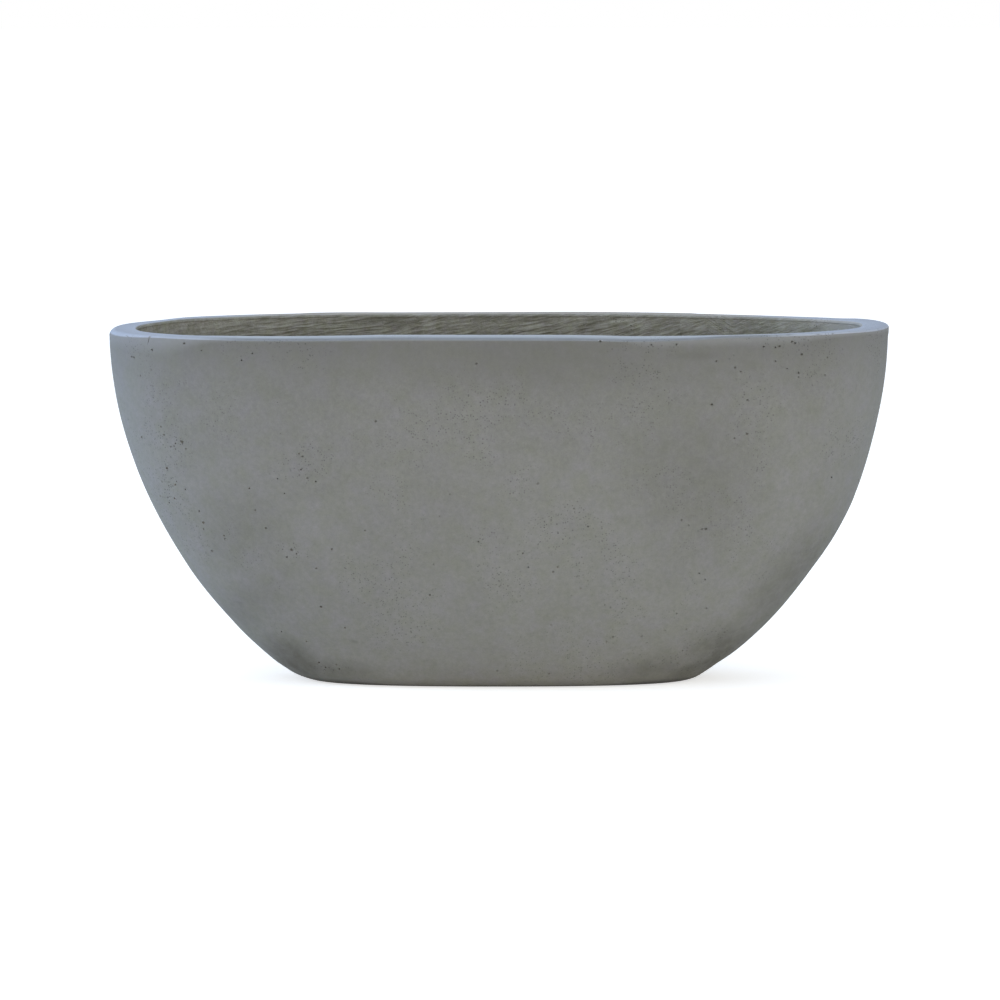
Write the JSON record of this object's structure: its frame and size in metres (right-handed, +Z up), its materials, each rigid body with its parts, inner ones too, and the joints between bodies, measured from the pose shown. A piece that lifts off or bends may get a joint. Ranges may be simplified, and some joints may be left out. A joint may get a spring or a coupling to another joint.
{
  "type": "oval bowl planter",
  "caption": "Oval concrete bowl planter on a small foot, with a thick flat rim, a rough hand-laid inside and rubber drain plugs that lift out.",
  "frame": {"origin": "centre of the foot, on the ground that the planter stands on", "axes": "+Z up, X along the bowl's long axis, the side seen in the picture faces -Y"},
  "size_m": [0.8, 0.37, 0.367],
  "materials": {
    "concrete_face": "matte",
    "concrete_backing": "matte",
    "glass_mesh": "matte",
    "plug_rubber": "matte"
  },
  "bodies": {
    "bowl": {"face_coat": "concrete_face", "glass_scrim": "glass_mesh", "fibre_backing": "concrete_backing"},
    "left_plug": {"drain_plug_left": "plug_rubber"},
    "right_plug": {"drain_plug_right": "plug_rubber"}
  },
  "joints": [
    {"name": "left_plug_lift", "type": "slide", "parent": "bowl", "child": "left_plug", "axis": [0, 0, 1], "range_m": [0, 0.4]},
    {"name": "right_plug_lift", "type": "slide", "parent": "bowl", "child": "right_plug", "axis": [0, 0, 1], "range_m": [0, 0.4]}
  ]
}
